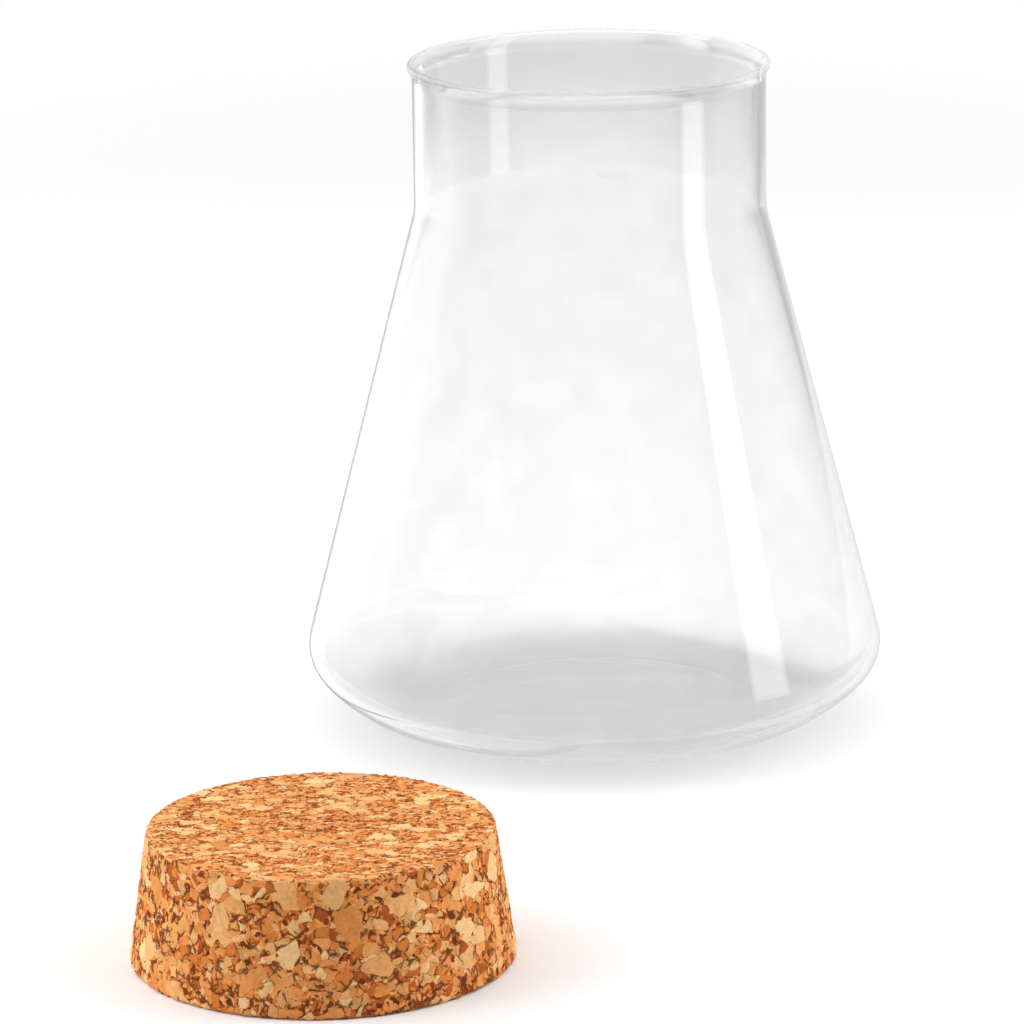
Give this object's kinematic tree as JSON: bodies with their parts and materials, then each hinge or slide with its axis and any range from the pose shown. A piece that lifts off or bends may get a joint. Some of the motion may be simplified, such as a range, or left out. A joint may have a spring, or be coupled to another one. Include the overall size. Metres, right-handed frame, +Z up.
{
  "type": "erlenmeyer flask",
  "caption": "Wide-mouth conical flask of clear blown glass, open, with its tapered agglomerated cork stopper standing on the bench beside it.",
  "frame": {"origin": "centre of the flask's foot, in the plane of the bench that the flask and the stopper stand on", "axes": "+Z up along the flask's axis, out of its mouth; -Y towards the side where the stopper stands, with the stopper to the left (-X) of the flask when seen from -Y"},
  "size_m": [0.1595, 0.2653, 0.149],
  "materials": {
    "clear_glass": "gloss",
    "pressed_cork": "matte"
  },
  "bodies": {
    "flask": {"flask_body": "clear_glass"},
    "stopper": {"cork_stopper": "pressed_cork"}
  },
  "joints": [
    {"name": "stopper_lift", "type": "slide", "parent": "flask", "child": "stopper", "axis": [0, 0, 1], "range_m": [0, 0.16]}
  ]
}
